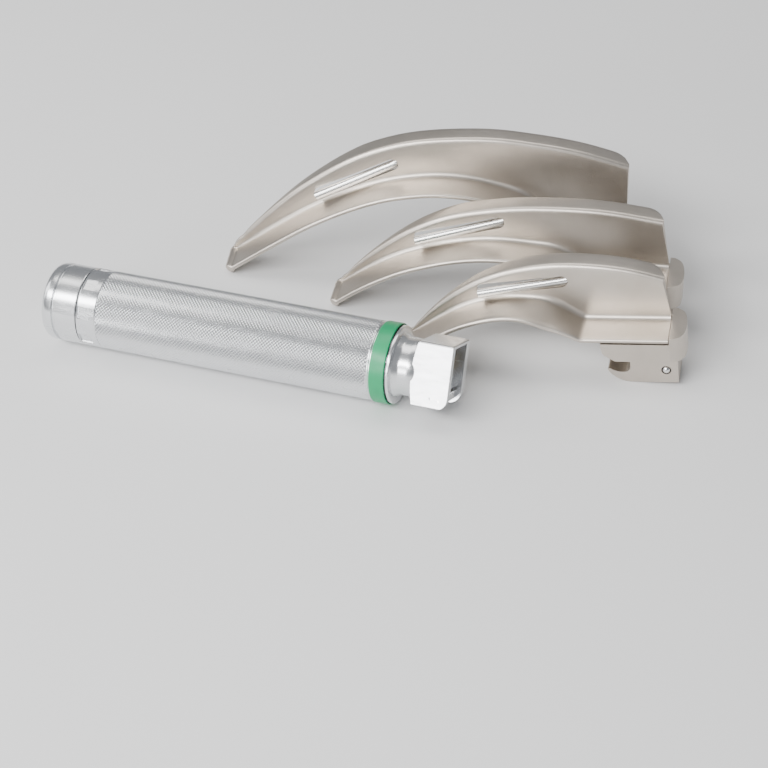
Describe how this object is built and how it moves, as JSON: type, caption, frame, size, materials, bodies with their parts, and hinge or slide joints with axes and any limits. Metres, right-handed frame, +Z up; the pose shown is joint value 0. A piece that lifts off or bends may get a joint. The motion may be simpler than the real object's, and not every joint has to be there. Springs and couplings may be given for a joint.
{
  "type": "laryngoscope",
  "caption": "Fibre-optic laryngoscope: a knurled battery handle with a hook-on head and a set of interchangeable curved blades with sprung detent balls and light guides.",
  "frame": {"origin": "centre of the set's bounding box in plan, at the height of the surface it lies on", "axes": "+X along the handle's axis from butt end to head, +Y across towards the largest blade, +Z up"},
  "size_m": [0.2266, 0.1252, 0.0546],
  "materials": {
    "plated_chrome": "bright satin plating, fine diamond knurl on the grip",
    "satin_steel": "satin stainless steel, fine random grain",
    "guide_steel": "bright drawn stainless tube",
    "polished_steel": "polished",
    "spring_steel": "drawn wire",
    "terminal_steel": "nickel plated",
    "brass": "turned",
    "green_ring": "emerald green, semi-gloss",
    "seal_rubber": "matt black",
    "bulb_glass": "clear",
    "nylon": "turned white nylon",
    "cell_jacket": "plain blue printed jacket"
  },
  "bodies": {
    "handle": {"handle_tube": "plated_chrome", "colour_ring": "green_ring", "head_fitting": "plated_chrome", "hinge_pin": "polished_steel", "contact_insulator": "nylon", "contact_stud": "brass", "lamp_spring": "spring_steel", "battery_spring": "spring_steel", "cell_lower_can": "cell_jacket", "cell_lower_terminal": "terminal_steel", "cell_upper_can": "cell_jacket", "cell_upper_terminal": "terminal_steel"},
    "cap_carrier": {"cap_seal": "seal_rubber"},
    "cap": {"end_cap": "plated_chrome"},
    "lamp": {"lamp_sleeve": "brass", "lamp_bulb": "bulb_glass", "lamp_contact": "brass"},
    "blade_small": {"blade_small": "satin_steel", "heel_block_small": "satin_steel", "light_guide_small": "guide_steel", "guide_inlet_small": "brass", "ball_spring_small": "spring_steel"},
    "ball_near_small": {"ball_near_small": "polished_steel"},
    "ball_far_small": {"ball_far_small": "polished_steel"},
    "blade_medium": {"blade_medium": "satin_steel", "heel_block_medium": "satin_steel", "light_guide_medium": "guide_steel", "guide_inlet_medium": "brass", "ball_spring_medium": "spring_steel"},
    "ball_near_medium": {"ball_near_medium": "polished_steel"},
    "ball_far_medium": {"ball_far_medium": "polished_steel"},
    "blade_large": {"blade_large": "satin_steel", "heel_block_large": "satin_steel", "light_guide_large": "guide_steel", "guide_inlet_large": "brass", "ball_spring_large": "spring_steel"},
    "ball_near_large": {"ball_near_large": "polished_steel"},
    "ball_far_large": {"ball_far_large": "polished_steel"}
  },
  "joints": [
    {"name": "cap_travel", "type": "slide", "parent": "handle", "child": "cap_carrier", "axis": [-1, 0, 0], "range_m": [0, 0.006], "deforming": ["battery_spring"]},
    {"name": "cap_turn", "type": "hinge", "parent": "cap_carrier", "child": "cap", "pos_m": [-0.105, -0.04805, 0.01455], "axis": [-1, 0, 0], "range_deg": [0, 1440]},
    {"name": "lamp_plunge", "type": "slide", "parent": "handle", "child": "lamp", "axis": [-1, 0, 0], "range_m": [0, 0.0012], "stiffness_N_per_m": 300, "springref_m": -0.004, "deforming": ["lamp_spring"]},
    {"name": "lift_off_small", "type": "slide", "parent": "handle", "child": "blade_small", "axis": [0, 0, 1], "range_m": [0, 0.08]},
    {"name": "ball_near_press_small", "type": "slide", "parent": "blade_small", "child": "ball_near_small", "axis": [-0.1582, 0.9874, 0], "range_m": [0, 0.0008], "stiffness_N_per_m": 200, "springref_m": -0.004, "deforming": ["ball_spring_small"]},
    {"name": "ball_far_press_small", "type": "slide", "parent": "blade_small", "child": "ball_far_small", "axis": [0.1582, -0.9874, 0], "range_m": [0, 0.0008], "stiffness_N_per_m": 200, "springref_m": -0.004, "deforming": ["ball_spring_small"]},
    {"name": "lift_off_medium", "type": "slide", "parent": "handle", "child": "blade_medium", "axis": [0, 0, 1], "range_m": [0, 0.08]},
    {"name": "ball_near_press_medium", "type": "slide", "parent": "blade_medium", "child": "ball_near_medium", "axis": [-0.1857, 0.9826, 0], "range_m": [0, 0.0008], "stiffness_N_per_m": 200, "springref_m": -0.004, "deforming": ["ball_spring_medium"]},
    {"name": "ball_far_press_medium", "type": "slide", "parent": "blade_medium", "child": "ball_far_medium", "axis": [0.1857, -0.9826, 0], "range_m": [0, 0.0008], "stiffness_N_per_m": 200, "springref_m": -0.004, "deforming": ["ball_spring_medium"]},
    {"name": "lift_off_large", "type": "slide", "parent": "handle", "child": "blade_large", "axis": [0, 0, 1], "range_m": [0, 0.08]},
    {"name": "ball_near_press_large", "type": "slide", "parent": "blade_large", "child": "ball_near_large", "axis": [-0.2487, 0.9686, 0], "range_m": [0, 0.0008], "stiffness_N_per_m": 200, "springref_m": -0.004, "deforming": ["ball_spring_large"]},
    {"name": "ball_far_press_large", "type": "slide", "parent": "blade_large", "child": "ball_far_large", "axis": [0.2487, -0.9686, 0], "range_m": [0, 0.0008], "stiffness_N_per_m": 200, "springref_m": -0.004, "deforming": ["ball_spring_large"]}
  ],
  "couplings": [
    {"joint": "cap_travel", "follows": "cap_turn", "m_per_rad": 0.00023873}
  ]
}
